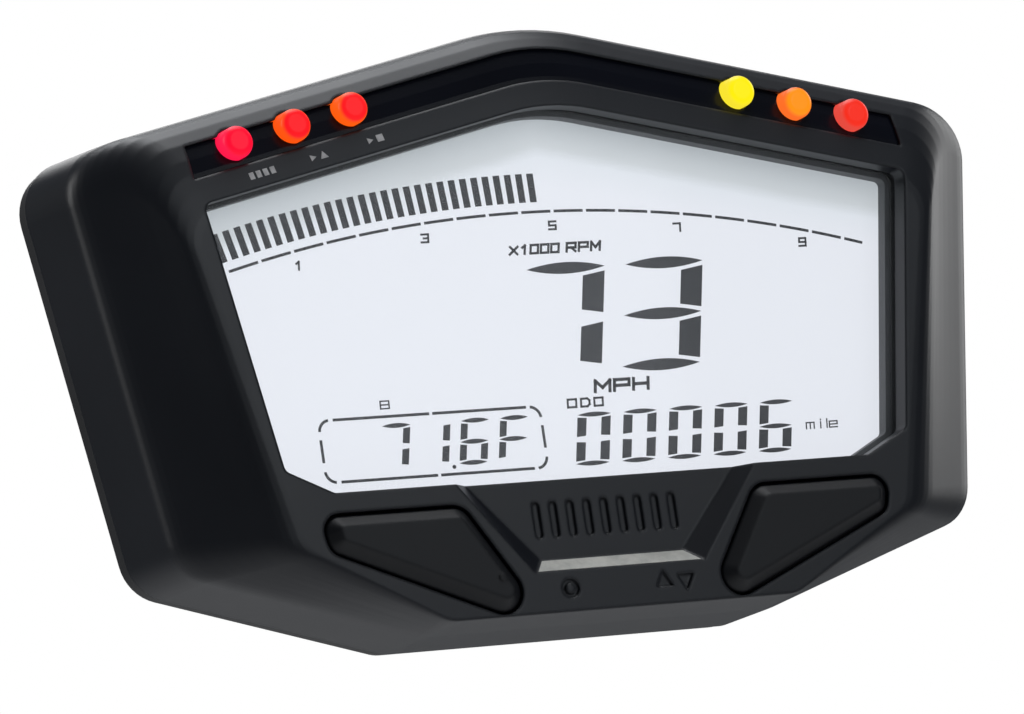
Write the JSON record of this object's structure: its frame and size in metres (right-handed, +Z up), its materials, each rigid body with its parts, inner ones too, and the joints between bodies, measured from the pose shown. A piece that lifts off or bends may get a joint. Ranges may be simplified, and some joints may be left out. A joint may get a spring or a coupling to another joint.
{
  "type": "motorcycle instrument cluster",
  "caption": "Compact digital instrument cluster with a wide slanted display window, warning lamps above it and push buttons below, bolted on from behind.",
  "frame": {"origin": "middle of the two rear mounting threads, on the rear face", "axes": "+X to the rider's right, +Y backwards out of the rear face towards the bracket, +Z up"},
  "size_m": [0.1294, 0.0333, 0.0769],
  "materials": {
    "bezel_plastic": "satin black moulded plastic",
    "clear_lens": "clear polished plastic window",
    "seal_rubber": "matt",
    "frame_plastic": "matt grey",
    "display_glass": "smooth",
    "diffuser": "matt white film",
    "light_guide": "polished clear sheet",
    "contact_rubber": "matt striped rubber",
    "backlight": "small white lamps",
    "gloss_black": "high gloss",
    "tinned_metal": "bright tinned",
    "board": "green solder resist",
    "steel": "zinc plated",
    "black_steel": "blackened",
    "chip_body": "matt",
    "aluminium_can": "drawn can",
    "button_rubber": "fine matt",
    "switch_body": "matt",
    "switch_plunger": "smooth",
    "cover_plastic": "lightly textured",
    "brass_insert": "turned",
    "socket_plastic": "smooth",
    "membrane": "fine porous film",
    "lamp_red": "clear red",
    "lamp_yellow": "clear yellow",
    "lamp_orange": "clear orange",
    "lamp_amber_red": "clear orange-red"
  },
  "bodies": {
    "case": {"adjust_switch_body": "switch_body", "backlight_lamps": "backlight", "board_screws": "steel", "chip_resistors": "chip_body", "contact_strip": "contact_rubber", "controller_chip": "chip_body", "cover_gasket": "seal_rubber", "cover_screws": "black_steel", "display_driver": "chip_body", "display_frame": "frame_plastic", "display_glass_front": "display_glass", "display_glass_rear": "display_glass", "front_bezel": "bezel_plastic", "front_diffuser_film": "diffuser", "indicator_lamp_1": "lamp_red", "indicator_lamp_2": "lamp_red", "indicator_lamp_3": "lamp_red", "indicator_lamp_4": "lamp_yellow", "indicator_lamp_5": "lamp_orange", "indicator_lamp_6": "lamp_amber_red", "indicator_strip": "gloss_black", "lamp_holder_left": "frame_plastic", "lamp_holder_right": "frame_plastic", "lamp_leads": "tinned_metal", "lens_seal": "seal_rubber", "light_guide": "light_guide", "main_board": "board", "memory_chip": "chip_body", "mounting_inserts": "brass_insert", "rear_cover": "cover_plastic", "rear_diffuser_film": "diffuser", "select_switch_body": "switch_body", "socket_pins": "tinned_metal", "socket_seal": "seal_rubber", "supply_capacitors": "aluminium_can", "timing_crystal": "steel", "vent_cap": "cover_plastic", "vent_membrane": "membrane", "voltage_regulator": "chip_body", "window_lens": "clear_lens", "wiring_socket": "socket_plastic"},
    "adjust_key": {"adjust_button": "button_rubber", "adjust_switch_plunger": "switch_plunger"},
    "select_key": {"select_button": "button_rubber", "select_switch_plunger": "switch_plunger"}
  },
  "joints": [
    {"name": "adjust_press", "type": "slide", "parent": "case", "child": "adjust_key", "axis": [0, 1, 0], "range_m": [0, 0.0008], "stiffness_N_per_m": 900, "springref_m": -0.0012},
    {"name": "select_press", "type": "slide", "parent": "case", "child": "select_key", "axis": [0, 1, 0], "range_m": [0, 0.0008], "stiffness_N_per_m": 900, "springref_m": -0.0012}
  ]
}
